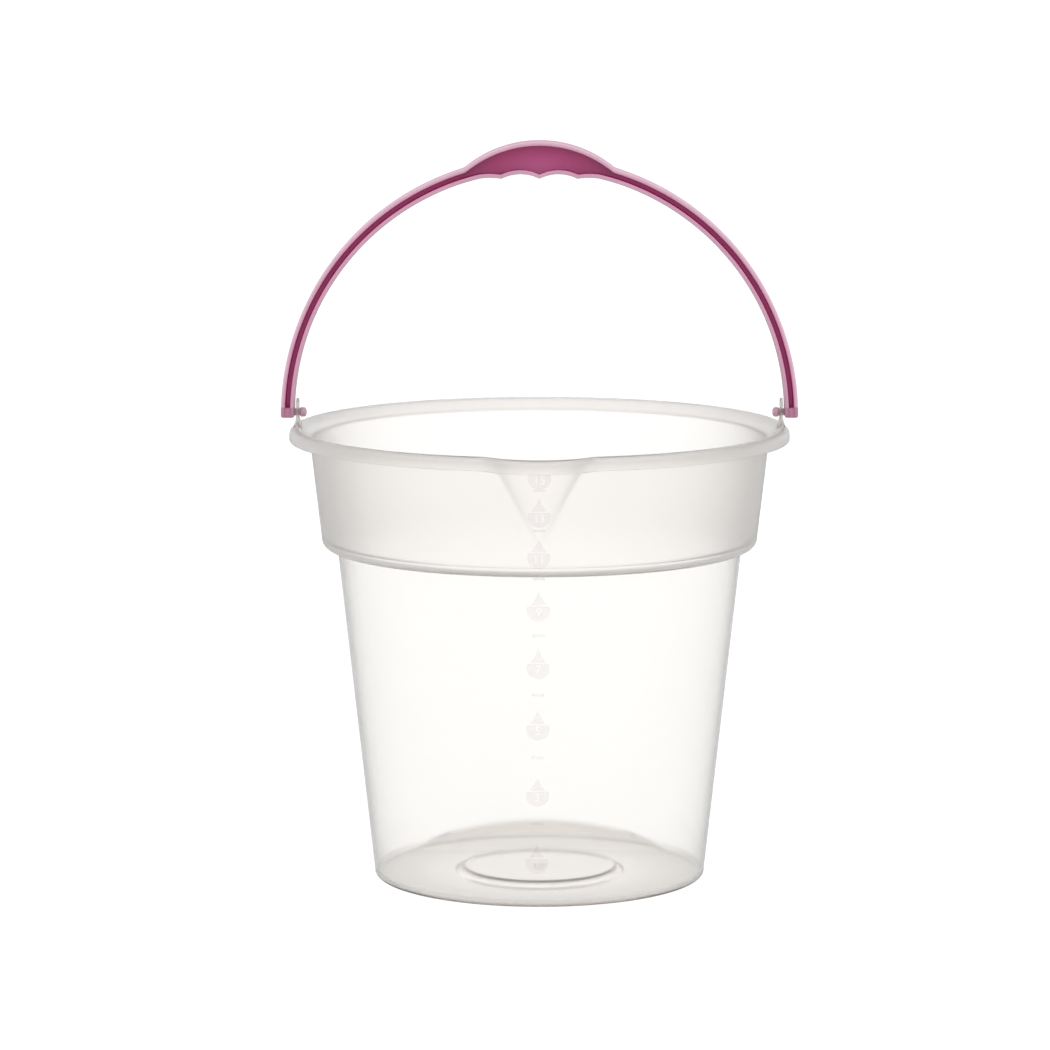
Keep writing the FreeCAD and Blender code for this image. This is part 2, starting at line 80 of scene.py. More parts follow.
# rows across the floor: radii on the raised panel, how many rows the floor, the underside, the panel's
# ramp and the collar have, the last radius before the wall, the edge of the ring that the tub stands on
# and the next row in, and the nub at the middle of the underside as (radius, height)
PANEL_ROWS = (4, 12, 24, 36, 46, 51)
FLOOR_COUNT, UNDER_COUNT, RAMP_COUNT, BAND_COUNT = 40, 36, 10, 24
FLOOR_END = BASE_RADIUS - WALL - 1.4
RING_EDGE, UNDER_EDGE = BASE_RADIUS - WALL - 0.9, BASE_RADIUS - WALL - 1.1
GATE_ROWS = ((GATE_RADIUS + 0.3, PANEL_HEIGHT), (GATE_RADIUS, PANEL_HEIGHT - 0.3),
             (GATE_RADIUS - 0.2, GATE_BOTTOM + 0.4), (GATE_RADIUS - 0.7, GATE_BOTTOM))

# degrees from the spout's middle, and how far apart the points of a row are up to there
TURN_STEPS = ((15, 0.25), (20, 0.5), (360, 1.5))

# ---------------------------------------------------------------- ears and handle
# the ear's side is (half width, height) from its foot up to its round head
EAR_INNER, EAR_OUTER, EAR_RADIUS = 165.1, 166.9, 9.6
EAR_ROOT, EAR_RIB_TOP, EAR_RIB_WIDTH, EAR_RIB_HALF = 310.5, 319.0, 2.6, 5.0
EAR_SIDE = [(15.0, EAR_ROOT), (10.7, 313.4), (EAR_RADIUS, 315.6)]
EAR_BEVEL, EAR_RIB_BEVEL = 0.35, 0.3
PIVOT_HEIGHT, BORE_RADIUS = 322.4, 2.56
BOW_HEIGHT, BOW_RADIUS, BOW_WIDTH, BOW_DEPTH = 320.0, 177.5, 9.3, 14.0
FLANGE, WEB, EDGE_CUT, WEB_FILLET, SOLID_GAP = 3.0, 2.4, 0.75, 0.6, 0.05
FOOT_LOW, FOOT_HIGH, END_ROUND = 318.9, 325.9, 1.6
PIN_RADIUS, KNOB_RADIUS, KNOB_INNER, KNOB_OUTER = 2.5, 3.3, 159.9, 164.3
# the knob's rounded nose as (distance from its end, radius), and how far the pin reaches into its foot
KNOB_NOSE = ((0, 1.2), (0.25, 2.2), (0.9, 3.0), (1.8, KNOB_RADIUS))
PIN_FILLET, PIN_SUNK = 0.2, 0.8
GRIP_HALF, GRIP_RISE, GRIP_DEPTH, GRIP_BLEND = 51.4, 11.0, 18.0, 9.0
FINGER_PITCH, FINGER_RADIUS, FINGER_DROP, THUMB_RADIUS = 25.8, 28.4, 5.1, 46.0
CROWN_REACH, CROWN_SOFTNESS, CUSP_SOFTNESS = 1.2 * GRIP_HALF, 0.8, 0.35

# stations along the bow: shares of a foot's height, and how the rest divides up to the grip and in it
FOOT_SHARES = (0, 0.03, 0.08, 0.15, 0.24, 0.4, 0.6, 0.8, 1)
BOW_COUNT, GRIP_COUNT, GRIP_ANGLE, FOOT_GAP = 70, 120, 0.36, 0.004

# linear colours of the magenta plastic: in the bow's web, at the grip web's top, bottom and middle,
# then across a flange from beside the web to its rim, paler outwards with painted glow for light piped
# along the plastic, and in the solid feet, with painted glow at their edges, and pins
WEB_TINT, GRIP_TOP_TINT = (0.455, 0.017, 0.175), (0.34, 0.018, 0.125)
GRIP_LOW_TINT, GRIP_MIDDLE_TINT = (0.42, 0.045, 0.185), (0.47, 0.085, 0.245)
# painted glow: the flanges turn paler towards their rims, for light piped along the plastic
OUTER_NEAR_TINT, OUTER_RIM_GLOW_TINT = (0.56, 0.30, 0.41), (0.74, 0.50, 0.61)
INNER_NEAR_TINT, INNER_RIM_GLOW_TINT = (0.58, 0.29, 0.42), (0.50, 0.33, 0.40)
# painted glow: the solid feet are paler at their edges, for light piped along the plastic
FOOT_TINT, FOOT_EDGE_GLOW_TINT, PIN_TINT = (0.44, 0.17, 0.28), (0.46, 0.28, 0.36), (0.55, 0.34, 0.42)
FACE_TINT, FACE_SHARE = (0.50, 0.13, 0.29), 0.62
# how far the tints reach: past a flange's edge, into a solid foot and along the grip
FLANGE_FADE, FOOT_FADE, GRIP_FADE = 0.3, 1.5, 30
# most of a noise texture's values lie between these
NOISE_LOW, NOISE_HIGH = 0.3, 0.7

# linear tints of the clear plastic: in the lower wall and the collar, then in the raised panel, and
# greyer with painted shade at the floor's outer edge and in the facet, where the tub shades the floor
# beneath it
WALL_TINT, COLLAR_TINT = (1.0, 0.995, 0.985), (0.992, 0.979, 0.965)
PANEL_TINT, RING_SHADE_TINT, FACET_SHADE_TINT = (1.0, 0.985, 0.96), (0.70, 0.68, 0.655), (0.82, 0.80, 0.77)

# how rough the faces of the collar, wall, floor, panel's ramp and base's round edge are, the height
# that the floor's part ends at, and how near to a wall or the ramp counts as on it
COLLAR_ROUGH, WALL_ROUGH, FLOOR_ROUGH, RAMP_ROUGH, EDGE_ROUGH = 0.32, 0.08, 0.04, 1.0, 0.5
FLOOR_ZONE, WALL_NEAR = 20, 1.2

# ---------------------------------------------------------------- litre scale
MARK_HEIGHTS = (34.8, 58.8, 81.8, 105, 128, 148.2, 170.3, 189.2,
                209.8, 228, 247.4, 262.7, 275.9, 291, 302.5)
MARK_LEAN = 2.0
DROP_WIDTH, DROP_RISE, DROP_TIP, DROP_GAP = 15.4, 9.7, 5.2, 0.9
# how much of the drop's round body the level line cuts off, how its tip narrows and the least tip
DROP_CUT, DROP_TAPER, LEAST_TIP = 0.34, 1.4, 2.0
DIGIT_HEIGHT, DIGIT_DROP, DIGIT_SPACING = 5.6, 0.72, 0.1
DASH_WIDTH, DASH_HEIGHT = 8.6, 1.8
MARK_PROUD, MARK_SUNK, MARK_BEVEL = 0.45, 0.25, 0.12
# the grid that divides a mark, so that it bends with the wall; shifted to miss the marks' own corners
GRID_PITCH, GRID_HALF, GRID_SHIFT = 0.9, 12, 0.03


# ---------------------------------------------------------------- small helpers
def smooth_max(a, b, width):
    """The larger of two lengths, rounded where they are nearly equal."""
    near = max(width - abs(a - b), 0.0) / width
    return max(a, b) + near * near * width / 4


def mixed(low, high, share):
    """A colour or point between two others, as a share of the way."""
    share = min(max(share, 0.0), 1.0)
    return tuple(x + (y - x) * share for x, y in zip(low, high))


def arc(centre, radius, start, end, count):
    """Points of an arc in a profile, angles in degrees."""
    steps = [radians(start + (end - start) * i / count) for i in range(count + 1)]
    return [(centre[0] + radius * cos(a), centre[1] + radius * sin(a)) for a in steps]


def straight(start, end, count):
    """Evenly spaced points from start up to, but not including, end."""
    return [(start[0] + (end[0] - start[0]) * i / count,
             start[1] + (end[1] - start[1]) * i / count) for i in range(count)]


def new_object(name, vertices, faces):
    """A mesh object from millimetre vertices, smooth except at sharp edges."""
    mesh = bpy.data.meshes.new(name)
    mesh.from_pydata([(x * MM, y * MM, z * MM) for x, y, z in vertices], [], faces)
    mesh.validate()
    obj = bpy.data.objects.new(name, mesh)
    bpy.context.scene.collection.objects.link(obj)
    shade(obj)
    return obj


def shade(obj):
    """Point all faces outwards and keep only sharp edges crisp."""
    work = bmesh.new()
    work.from_mesh(obj.data)
    bmesh.ops.remove_doubles(work, verts=work.verts, dist=WELD_DISTANCE)
    bmesh.ops.recalc_face_normals(work, faces=work.faces)
    work.to_mesh(obj.data)
    work.free()
    for polygon in obj.data.polygons:
        polygon.use_smooth = True
    obj.data.set_sharp_from_angle(angle=radians(SHARP_ANGLE))


# ---------------------------------------------------------------- tub surface
def nose_radius(turn, nose_round, nose_centre):
    """How far a round nose reaches from the tub's axis, at an angle from straight ahead."""
    aside = nose_centre * sin(turn)
    if cos(turn) < 0 or abs(aside) > nose_round:
        return 0.0
    return nose_centre * cos(turn) + sqrt(nose_round ** 2 - aside ** 2)


def band_reach(turn, radius, z, inset):
    """The collar's wall at a height, bulged by the spout's cone; inset is 0 outside and WALL inside."""
    share = (z - SPOUT_APEX_HEIGHT) / (BAND_TOP_HEIGHT - SPOUT_APEX_HEIGHT)
    if share <= 0:
        return radius
    nose_round = (SPOUT_ROUND - CROWN_RADIUS + BAND_TOP_RADIUS - inset) * share
    nose_centre = APEX_RADIUS + TIP_GAIN * share - inset - nose_round
    crease = SPOUT_CREASE * min(1.0, 4 * share)
    return smooth_max(radius, nose_radius(turn, nose_round, nose_centre), crease)


def rim_reach(turn, radius):
    """A line of the rim, at its own distance from the crown, led round the spout."""
    nose_round = SPOUT_ROUND - CROWN_RADIUS + radius
    return smooth_max(radius, nose_radius(turn, nose_round, NOSE_CENTRE), SPOUT_CREASE)


def facet_height(y):
    """The inclined part of the floor's underside, at the back."""
    return max(0.0, TILT_SLOPE * (y - TILT_START))


def inner_wall_point(share, top, y_side):
    """A point of the lower wall's inside, as a share of its rise from where it meets the floor."""
    first = BASE_RADIUS - WALL
    facet = TILT_SLOPE * (first * y_side - TILT_START) / (1 - TILT_SLOPE * WALL_LEAN * max(0.0, y_side))
    low = WALL + max(0.0, facet)
    z = low + share * (top - low)
    return first + WALL_LEAN * z, z


def rows_of(kind, points):
    """Rows from (radius, height) points; the kind says how they follow the facet and the spout."""
    return [(kind, radius, z) for radius, z in points]


def floor_rows():
    """The floor's upper face, from the middle over the raised panel's edge towards the wall."""
    points = [(radius, PANEL_HEIGHT + WALL) for radius in PANEL_ROWS + (PANEL_RADIUS,)]
    points += [(radius, WALL + PANEL_HEIGHT * left) for radius, left in panel_ramp()]
    run = FLOOR_END - PANEL_FOOT
    points += [(PANEL_FOOT + i * run / FLOOR_COUNT, WALL) for i in range(FLOOR_COUNT + 1)]
    return rows_of("floor", points)


def inner_rows():
    """The inside, from the floor up the wall, over the ledge and up the collar to the flare's top."""
    neck = NECK_RADIUS + WALL * (WALL_LEAN - 1)
    band = BAND_RADIUS + WALL * (BAND_LEAN - 1)
    ledge = STEP_HEIGHT + WALL
    band_foot = (band + LEDGE_ROUND * BAND_LEAN, ledge + LEDGE_ROUND + 1)
    corner = flare_corner(flare_start(BAND_TOP_RADIUS - WALL, ROLL_RADIUS))
    # these first rows hold a share of the wall's rise in place of a radius
    rows = [("inner_wall", share, STEP_HEIGHT - INNER_WALL_END) for share in WALL_SHARES]
    rows += rows_of("plain", arc((neck + LEDGE_LIP, ledge - LEDGE_LIP), LEDGE_LIP, 180, 95, 4))
    rows += rows_of("plain", arc((band - LEDGE_ROUND, ledge + LEDGE_ROUND), LEDGE_ROUND, -90, 6, 8))
    rows += rows_of("band_in", straight(band_foot, corner[0], BAND_COUNT))
    rows += [("band_in" if point[1] < BAND_TOP_HEIGHT else "rim",) + point for point in corner[:-1]]
    return rows + rows_of("rim", straight(corner[-1], roll_point(ROLL_RADIUS, ROLL_END), 4))


def rim_rows():
    """The rolled rim, over its crown, round the lip's end and back up inside it to the collar."""
    crown = (CROWN_RADIUS, ROLL_HEIGHT)
    reach = CROWN_RADIUS + ROLL_RADIUS
    inner = ROLL_RADIUS - WALL
    foot = flare_start(BAND_TOP_RADIUS, inner)
    points = arc(crown, ROLL_RADIUS, ROLL_END, 0, 14)
    points += straight((reach, LIP_OUTSIDE[0]), (reach, LIP_OUTSIDE[1]), 3)
    points += arc((reach - LIP_ROUND, LIP_CENTRE), LIP_ROUND, 0, -180, 6)
    points += straight((reach - WALL, LIP_INSIDE[0]), (reach - WALL, LIP_INSIDE[1]), 3)
    points += arc(crown, inner, 0, ROLL_END, 8)
    points += straight(roll_point(inner, ROLL_END), foot, 5)[1:]
    return rows_of("rim", points + [foot])


def outer_rows():
    """The outside, from under the flare down the collar, round the step and down to the base."""
    band_top = (BAND_TOP_RADIUS, BAND_TOP_HEIGHT - BAND_END)
    band_foot = (BAND_RADIUS + BAND_ROUND * BAND_LEAN, STEP_HEIGHT + BAND_ROUND)
    wall_top = (NECK_RADIUS - WALL_LEAN * OUTER_WALL_END, STEP_HEIGHT - OUTER_WALL_END)
    wall_foot = (BASE_RADIUS + WALL_LEAN * BASE_ROUND, BASE_ROUND)
    points = arc((band_foot[0] - BAND_ROUND, band_foot[1]), BAND_ROUND, 0, -90, 10)
    points += arc((NECK_RADIUS + NECK_FILLET, STEP_HEIGHT - NECK_FILLET), NECK_FILLET, 90, 185, 4)
    points += [mixed(wall_foot, wall_top, share) for share in reversed(WALL_SHARES[1:])]
    points += arc((wall_foot[0] - BASE_ROUND, BASE_ROUND), BASE_ROUND, 0, -90, 7)
    return rows_of("band_out", straight(band_top, band_foot, BAND_COUNT)) + rows_of("plain", points)


def under_rows():
    """The underside, from the ring that the tub stands on to the nub at the middle."""
    run = UNDER_EDGE - PANEL_FOOT
    points = [(UNDER_EDGE - i * run / UNDER_COUNT, 0.0) for i in range(UNDER_COUNT + 1)]
    points += [(radius, PANEL_HEIGHT * left) for radius, left in reversed(panel_ramp())]
    points += [(radius, PANEL_HEIGHT) for radius in (PANEL_RADIUS, *reversed(PANEL_ROWS[1:]))]
    return [("plain", RING_EDGE, 0.0)] + rows_of("under", points) + rows_of("under", GATE_ROWS)


def panel_ramp():
    """Radii down the raised panel's rounded edge, each with the share of its height that is left."""
    run = PANEL_FOOT - PANEL_RADIUS
    shares = [i / RAMP_COUNT for i in range(1, RAMP_COUNT)]
    return [(PANEL_RADIUS + run * share, (1 + cos(pi * share)) / 2) for share in shares]


def roll_point(radius, turn):
    """A point round the rolled rim's centre, with the turn in degrees."""
    return CROWN_RADIUS + radius * cos(radians(turn)), ROLL_HEIGHT + radius * sin(radians(turn))


def flare_start(radius, roll):
    """Where the flare's slope reaches a smaller radius."""
    edge = roll_point(roll, ROLL_END)
    return radius, edge[1] - (edge[0] - radius) * tan(FLARE_ANGLE)


def flare_corner(foot):
    """The rounded corner where the collar's inside turns out into the flare."""
    below = (foot[0] - BAND_LEAN * CORNER_CUT, foot[1] - CORNER_CUT)
    above = (foot[0] + cos(FLARE_ANGLE) * CORNER_CUT, foot[1] + sin(FLARE_ANGLE) * CORNER_CUT)
    steps = [i / 8 for i in range(9)]
    return [mixed(mixed(below, foot, t), mixed(foot, above, t), t) for t in steps]


def tub_point(row, turn):
    """One vertex of the tub; turn is the angle from straight ahead, towards +X."""
    kind, radius, z = row
    x_side, y_side = sin(turn), -cos(turn)
    if kind == "inner_wall":
        radius, z = inner_wall_point(radius, z, y_side)
    elif kind == "band_in":
        radius = band_reach(turn, radius, z, WALL)
    elif kind == "band_out":
        radius = band_reach(turn, radius, z, 0)
    elif kind == "rim":
        radius = rim_reach(turn, radius)
    elif kind == "floor":
        z = max(z, WALL + facet_height(radius * y_side))
    elif kind == "under":
        z = max(z, facet_height(radius * y_side))
    return radius * x_side, radius * y_side, z


def tub_turns():
    """Angles round the tub, closer together at the spout."""
    turns = []
    angle = -180.0
    while angle < 179.99:
        turns.append(radians(angle))
        angle += next(step for limit, step in TURN_STEPS if abs(angle) < limit)
    return turns


def make_tub():
    """The tub's closed shell: its rows, each turned round the axis, and a fan at each end."""
    rows = floor_rows() + inner_rows() + rim_rows() + outer_rows() + under_rows()
    turns = tub_turns()
    count = len(turns)
    vertices = [tub_point(row, turn) for row in rows for turn in turns]
    faces = []
    for i in range(len(rows) - 1):
        for j in range(count):
            k = (j + 1) % count
            faces.append((i * count + j, i * count + k, (i + 1) * count + k, (i + 1) * count + j))
    for i, z in ((0, PANEL_HEIGHT + WALL), (len(rows) - 1, GATE_BOTTOM)):
        centre = len(vertices)
        vertices.append((0, 0, z))
        faces += [(i * count + j, i * count + (j + 1) % count, centre) for j in range(count)]
    return new_object("tub_shell", vertices, faces)


# ---------------------------------------------------------------- ears
def extruded(name, outer, holes, half_thickness, bevel, to_world):
    """A closed plate with bevelled edges from outlines in a plane, placed by a function."""
    curve = bpy.data.curves.new(name, "CURVE")
    curve.dimensions = "2D"
    curve.fill_mode = "BOTH"
    curve.extrude = (half_thickness - bevel) * MM
    curve.bevel_depth = bevel * MM
    curve.bevel_resolution = 2
    curve.offset = -bevel * MM
    for outline in [outer] + holes:
        spline = curve.splines.new("POLY")
        spline.points.add(len(outline) - 1)
        for point, (a, b) in zip(spline.points, outline):
            point.co = (a * MM, b * MM, 0, 1)
        spline.use_cyclic_u = True
    source = bpy.data.objects.new(name + "_source", curve)
    bpy.context.scene.collection.objects.link(source)
    evaluated = source.evaluated_get(bpy.context.evaluated_depsgraph_get())
    mesh = bpy.data.meshes.new_from_object(evaluated)
    bpy.data.objects.remove(source)
    bpy.data.curves.remove(curve)
    for vertex in mesh.vertices:
        vertex.co = to_world(vertex.co / MM) * MM
    obj = bpy.data.objects.new(name, mesh)
    bpy.context.scene.collection.objects.link(obj)
    mesh.materials.clear()
    shade(obj)
    return obj


def make_ear(name, side):
    """A thin upright ear with its pin hole, on one side of the rim."""
    top = arc((0, PIVOT_HEIGHT), EAR_RADIUS, 0, 180, 40)
    outline = EAR_SIDE + top + [(-a, b) for a, b in reversed(EAR_SIDE)]
    hole = arc((0, PIVOT_HEIGHT), BORE_RADIUS, 0, 352.5, 47)
    middle = side * (EAR_INNER + EAR_OUTER) / 2
    half = (EAR_OUTER - EAR_INNER) / 2
    plate = extruded(name, outline, [hole], half, EAR_BEVEL,
                     lambda p: Vector((middle + p.z, p.x, p.y)))
    foot = [(-EAR_RIB_WIDTH - half, EAR_ROOT), (EAR_RIB_WIDTH + half, EAR_ROOT), (half, EAR_RIB_TOP),
            (-half, EAR_RIB_TOP)]
    rib = extruded(name + "_rib", foot, [], EAR_RIB_HALF, EAR_RIB_BEVEL,
                   lambda p: Vector((middle + p.x, p.z, p.y)))
    return plate, rib


def unite(target, others):
    """Weld other closed meshes into one, and delete them."""
    for other in others:
        weld = target.modifiers.new("weld", "BOOLEAN")
        weld.operation = "UNION"
        weld.solver = "EXACT"
        weld.object = other
    evaluated = target.evaluated_get(bpy.context.evaluated_depsgraph_get())
    mesh = bpy.data.meshes.new_from_object(evaluated)
    target.modifiers.clear()
    target.data = mesh
    for other in others:
        bpy.data.objects.remove(other)
    shade(target)


def paint(obj, colors):
    """Store one colour per vertex as the plastic's tint, with painted shade and glow where the colours
    hold them.
    """
    layer = obj.data.color_attributes.new("tint_and_painted_light", "FLOAT_COLOR", "POINT")
    for entry, color in zip(layer.data, colors):
        entry.color = (*color, 1)


def roughen(obj, values):
    """Store how rough the surface is at each vertex."""
    layer = obj.data.attributes.new("roughness", "FLOAT", "POINT")
    for entry, value in zip(layer.data, values):
        entry.value = value


def tub_tint(x, y, z):
    """A little dimmer in the collar, and greyer with painted shade in the facet and towards the floor's
    edge, where the tub shades the floor under it.
    """
    radius = hypot(x, y)
    if z > STEP_HEIGHT + 0.5:
        return COLLAR_TINT
    in_wall = radius > BASE_RADIUS - WALL + WALL_LEAN * z - WALL_NEAR
    if in_wall or z > WALL + PANEL_HEIGHT + facet_height(y) + 0.1:
        return WALL_TINT
    # painted shade: the facet and the floor towards its outer edge are greyer, for the shade under the
    # tub's base
    if y > TILT_START:
        return FACET_SHADE_TINT
    return mixed(PANEL_TINT, RING_SHADE_TINT, (radius - PANEL_FOOT) / (BASE_RADIUS - PANEL_FOOT))


def tub_roughness(x, y, z):
    """Satin in the collar, matt on the panel's ramp and the base's round edge, and smooth elsewhere."""
    if z > STEP_HEIGHT - NECK_FILLET:
        return COLLAR_ROUGH
    if z > FLOOR_ZONE:
        return WALL_ROUGH
    radius = hypot(x, y)
    if PANEL_RADIUS - WALL_NEAR < radius < PANEL_FOOT + WALL_NEAR:
        return RAMP_ROUGH
    if radius > BASE_RADIUS - BASE_ROUND - 0.1 and z < BASE_ROUND + 0.1:
        return EDGE_ROUGH
    return FLOOR_ROUGH if radius < BASE_RADIUS - WALL else WALL_ROUGH


# ---------------------------------------------------------------- litre scale
def outer_radius(turn, z):
    """The tub's outer wall at an angle from straight ahead and a height."""
    if z < STEP_HEIGHT:
        return BASE_RADIUS + WALL_LEAN * z
    radius = BAND_RADIUS + BAND_LEAN * (z - STEP_HEIGHT)
    if z < STEP_HEIGHT + BAND_ROUND:
        lack = STEP_HEIGHT + BAND_ROUND - z
        radius -= BAND_ROUND - sqrt(BAND_ROUND ** 2 - lack ** 2)
    return band_reach(turn, radius, z, 0)


def digit_outlines(text, height):
    """Outlines of digits from the built-in font, centred, a given height tall."""
    curve = bpy.data.curves.new("digits", "FONT")
    curve.body = text
    curve.align_x = "CENTER"
    curve.size = 1.0
    curve.resolution_u = 3
    curve.fill_mode = "NONE"
    source = bpy.data.objects.new("digits", curve)
    bpy.context.scene.collection.objects.link(source)
    evaluated = source.evaluated_get(bpy.context.evaluated_depsgraph_get())
    mesh = bpy.data.meshes.new_from_object(evaluated)
    bpy.data.objects.remove(source)
    bpy.data.curves.remove(curve)
    work = bmesh.new()
    work.from_mesh(mesh)
    bpy.data.meshes.remove(mesh)
    low = min(v.co.y for v in work.verts)
    scale = height / (max(v.co.y for v in work.verts) - low)
    loops, seen = [], set()
    for start in work.verts:
        if start in seen:
            continue
        loop, here, came = [], start, None
        while here not in seen:
            seen.add(here)
            loop.append((here.co.x * scale, (here.co.y - low) * scale))
            following = [e for e in here.link_edges if e is not came]
            came = following[0]
            here = came.other_vert(here)
        loops.append([p for i, p in enumerate(loop) if dist(p, loop[i - 1]) > DIGIT_SPACING])
    work.free()
    return loops


def drop_outlines(litre, rise):
    """A water drop in two parts: its round body with a number, and its tip above the level line."""
    radius = DROP_WIDTH / 2
    centre = -DROP_GAP / 2 - DROP_CUT * radius
    start = degrees(asin(DROP_CUT))
    body = arc((0, centre), radius, 180 - start, 360 + start, 44)
    base = centre - DIGIT_HEIGHT * DIGIT_DROP
    number = [[(a, b + base) for a, b in loop] for loop in digit_outlines(str(litre), DIGIT_HEIGHT)]
    if rise < LEAST_TIP:
        return [(body, number)]
    side = [(DROP_TIP * (1 - t * rise / DROP_RISE) ** DROP_TAPER, DROP_GAP / 2 + rise * t)
            for t in [i / 12 for i in range(13)]]
    tip = side + [(-a, b) for a, b in reversed(side) if a > 0.01]
    return [(body, number), (tip, [])]


def dash_outline():
    """A short level line with round ends."""
    end = DASH_HEIGHT / 2
    run = DASH_WIDTH / 2 - end
    return arc((run, 0), end, -90, 90, 8) + arc((-run, 0), end, 90, 270, 8)


def wrap_on_wall(obj, height):
    """Lay a flat mark on the tub's outer wall on the spout's side, a little aside low down."""
    aside = -MARK_LEAN * (1 - height / BAND_TOP_HEIGHT)
    work = bmesh.new()
    work.from_mesh(obj.data)
    for axis in (0, 1):
        normal = Vector((axis == 0, axis == 1, 0))
        for step in range(-GRID_HALF, GRID_HALF + 1):
            place = normal * (step + GRID_SHIFT) * GRID_PITCH * MM
            everything = work.verts[:] + work.edges[:] + work.faces[:]
            bmesh.ops.bisect_plane(work, geom=everything, plane_co=place, plane_no=normal, dist=1e-7)
    for vertex in work.verts:
        across, up, out = vertex.co / MM
        across += aside
        z = height + up
        turn = across / outer_radius(0.0, z)
        reach = outer_radius(turn, z) + MARK_PROUD / 2 - MARK_SUNK / 2 + out
        vertex.co = Vector((reach * sin(turn), -reach * cos(turn), z)) * MM
    work.to_mesh(obj.data)
    work.free()
    shade(obj)


def make_scale():
    """Drops with numbers for the odd litres and dashes for the even ones."""
    marks = []
    half = (MARK_PROUD + MARK_SUNK) / 2
    for litre, height in enumerate(MARK_HEIGHTS, start=1):
        shapes = [(dash_outline(), [])]
        if litre % 2:
            shapes = drop_outlines(litre, min(DROP_RISE, BAND_TOP_HEIGHT - 1 - height))
        for outer, holes in shapes:
            mark = extruded("mark", outer, holes, half, MARK_BEVEL, Vector)
            wrap_on_wall(mark, height)
            marks.append(mark)
    return join_all("litre_scale", marks)


def join_all(name, parts):
    """Merge several objects into one."""
    work = bmesh.new()
    for part in parts:
        work.from_mesh(part.data)
        bpy.data.objects.remove(part)
    mesh = bpy.data.meshes.new(name)
    work.to_mesh(mesh)
    work.free()
    obj = bpy.data.objects.new(name, mesh)
    bpy.context.scene.collection.objects.link(obj)
    shade(obj)
    return obj


# ---------------------------------------------------------------- handle
def ray_circle(direction, centre, radius):
    """How far along a ray from the bow's centre a circle's far side lies, or None."""
    along = direction[0] * centre[0] + direction[1] * centre[1]
    inside = radius ** 2 - centre[0] ** 2 - centre[1] ** 2 + along ** 2
    return along + sqrt(inside) if inside > 0 else None


def chord_centre(left, right, radius):
    """Centre of an arc that bulges up between two points."""
    middle = ((left[0] + right[0]) / 2, (left[1] + right[1]) / 2)
    run, rise = right[0] - left[0], right[1] - left[1]
    half = hypot(run, rise) / 2
    drop = sqrt(radius ** 2 - half ** 2) / (2 * half)
    return middle[0] + rise * drop, middle[1] - run * drop


BOW_INNER = BOW_RADIUS - BOW_WIDTH
GRIP_END_TOP = sqrt(BOW_RADIUS ** 2 - GRIP_HALF ** 2)
GRIP_END_LOW = sqrt(BOW_INNER ** 2 - GRIP_HALF ** 2)
GRIP_SAGITTA = BOW_RADIUS + GRIP_RISE - GRIP_END_TOP
GRIP_RADIUS = (GRIP_HALF ** 2 + GRIP_SAGITTA ** 2) / (2 * GRIP_SAGITTA)
GRIP_CENTRE = (0.0, BOW_RADIUS + GRIP_RISE - GRIP_RADIUS)
CUSP = BOW_INNER - FINGER_DROP
CUSPS = [(-GRIP_HALF, GRIP_END_LOW), (-FINGER_PITCH, CUSP), (0.0, CUSP),
         (FINGER_PITCH, CUSP), (GRIP_HALF, GRIP_END_LOW)]
HOLLOW_RADII = (THUMB_RADIUS, FINGER_RADIUS, FINGER_RADIUS, THUMB_RADIUS)
HOLLOWS = [(chord_centre(left, right, radius), radius)
           for left, right, radius in zip(CUSPS, CUSPS[1:], HOLLOW_RADII)]


def bow_limits(angle):
    """Inner and outer radius of the handle along a ray from the bow's centre."""
    direction = (cos(angle), sin(angle))
    outer, inner = BOW_RADIUS, BOW_INNER
    if abs(direction[0]) * BOW_RADIUS < CROWN_REACH:
        crown = ray_circle(direction, GRIP_CENTRE, GRIP_RADIUS)
        outer = smooth_max(outer, crown or 0.0, CROWN_SOFTNESS)
    if abs(direction[0]) * BOW_INNER < GRIP_HALF:
        reached = 0.0
        for centre, radius in HOLLOWS:
            reached = smooth_max(reached, ray_circle(direction, centre, radius) or 0.0, CUSP_SOFTNESS)
        inner = min(inner, reached)
    return inner, outer


def grip_share(angle):
    """0 along the bow and 1 in the grip, with a smooth change at the grip's ends."""
    reach = abs(cos(angle)) * BOW_RADIUS
    share = min(max((GRIP_HALF + GRIP_BLEND - reach) / (2 * GRIP_BLEND), 0.0), 1.0)
    return share * share * (3 - 2 * share)


def rounded(corners, count=3):
    """A closed outline with its corners cut into small arcs, from (a, b, radius) corners."""
    points = []
    for i, (a, b, radius) in enumerate(corners):
        before = Vector(corners[i - 1][:2])
        after = Vector(corners[(i + 1) % len(corners)][:2])
        here = Vector((a, b))
        if radius == 0:
            points.append(here)
            continue
        to_before, to_after = (before - here).normalized(), (after - here).normalized()
        start, end = here + to_before * radius, here + to_after * radius
        for step in range(count + 1):
            t = step / count
            points.append(start * (1 - t) ** 2 + here * 2 * t * (1 - t) + end * t ** 2)
    return points


def bow_section(width, half_depth, web_half):
    """H section across the handle: first coordinate from the inner edge out, second along Y."""
    fillet = min(WEB_FILLET, max(half_depth - web_half, 0.02) * 0.4)
    across = [-FACE_SHARE * half_depth, 0, FACE_SHARE * half_depth]
    near, far = FLANGE, width - FLANGE
    corners = [(0, half_depth, EDGE_CUT)] + [(0, b, 0) for b in reversed(across)]
    corners += [(0, -half_depth, EDGE_CUT), (near, -half_depth, EDGE_CUT), (near, -web_half, fillet)]
    corners += [(far, -web_half, fillet), (far, -half_depth, EDGE_CUT), (width, -half_depth, EDGE_CUT)]
    corners += [(width, b, 0) for b in across] + [(width, half_depth, EDGE_CUT)]
    corners += [(far, half_depth, EDGE_CUT), (far, web_half, fillet)]
    corners += [(near, web_half, fillet), (near, half_depth, EDGE_CUT)]
    return rounded(corners)


